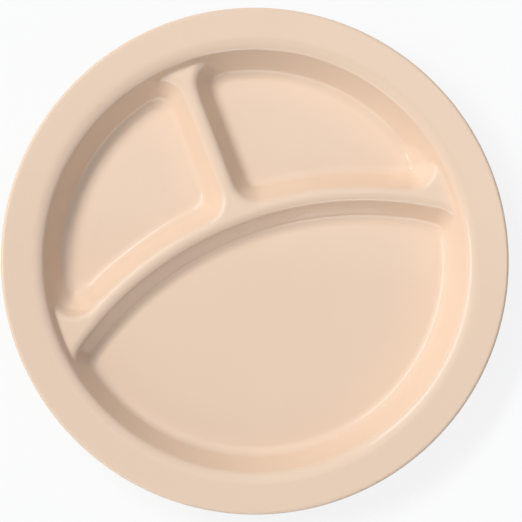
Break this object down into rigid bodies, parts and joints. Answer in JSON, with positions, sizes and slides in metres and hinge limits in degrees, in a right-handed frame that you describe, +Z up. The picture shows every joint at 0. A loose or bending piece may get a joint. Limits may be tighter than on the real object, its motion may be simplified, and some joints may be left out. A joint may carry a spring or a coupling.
{
  "type": "divided plate",
  "caption": "Round divided plate with a wide, gently raised rim; low rounded dividers part its shallow well into a large compartment and smaller side compartments.",
  "frame": {"origin": "under the middle of the plate, on the surface that its foot bands rest on", "axes": "+Z up out of the compartments, +Y along the straight divider, away from the curved one, and +X to the right of it"},
  "size_m": [0.26, 0.26, 0.0232],
  "materials": {
    "moulded_plastic": "gloss"
  },
  "bodies": {
    "root": {"plate": "moulded_plastic"}
  },
  "joints": []
}
